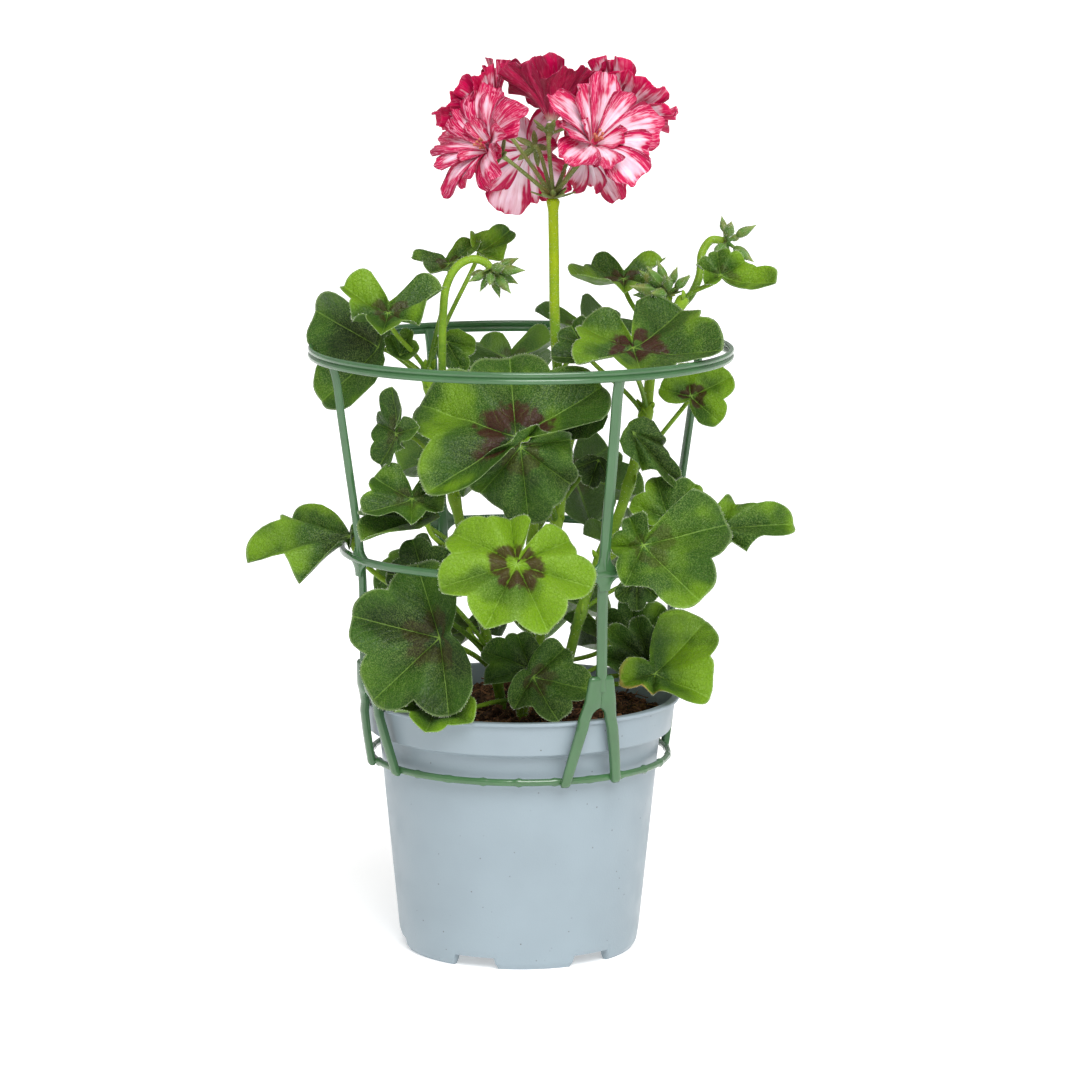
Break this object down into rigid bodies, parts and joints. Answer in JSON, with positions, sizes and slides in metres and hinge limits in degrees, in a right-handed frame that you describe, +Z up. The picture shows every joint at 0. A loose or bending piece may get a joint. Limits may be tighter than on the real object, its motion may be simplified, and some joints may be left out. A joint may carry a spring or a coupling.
{
  "type": "potted geranium",
  "caption": "Ivy-leaved geranium in a plain round nursery pot, with lobed leaves, an open pink bloom on a tall stalk, closed bud sprays and a clip-on ring cage that supports the stems.",
  "frame": {"origin": "centre of the pot's foot ring, on the surface that it stands on, which is the bottom centre of the whole plant within a few millimetres", "axes": "+Z up along the pot's axis and the plant's height, -Y towards the viewer of the front, +X to that viewer's right"},
  "size_m": [0.2041, 0.1711, 0.3376],
  "materials": {
    "pot_plastic": "satin",
    "peat": "matte",
    "cage_plastic": "satin",
    "leaf": "matte",
    "stalk": "satin",
    "bud": "matte",
    "petal": "satin"
  },
  "bodies": {
    "root": {"pot": "pot_plastic", "soil": "peat", "support_cage": "cage_plastic", "leafy_stem_left": "leaf", "leafy_stem_centre": "leaf", "leafy_stem_right": "leaf", "leafy_stem_front": "leaf", "leafy_stem_back": "leaf", "bloom_stalk": "stalk", "floret_1": "petal", "floret_2": "petal", "floret_3": "petal", "floret_4": "petal", "floret_5": "petal", "floret_6": "petal", "floret_7": "petal", "bud_spray_left": "bud", "bud_spray_right": "bud", "bud_spray_top": "bud"}
  },
  "joints": []
}
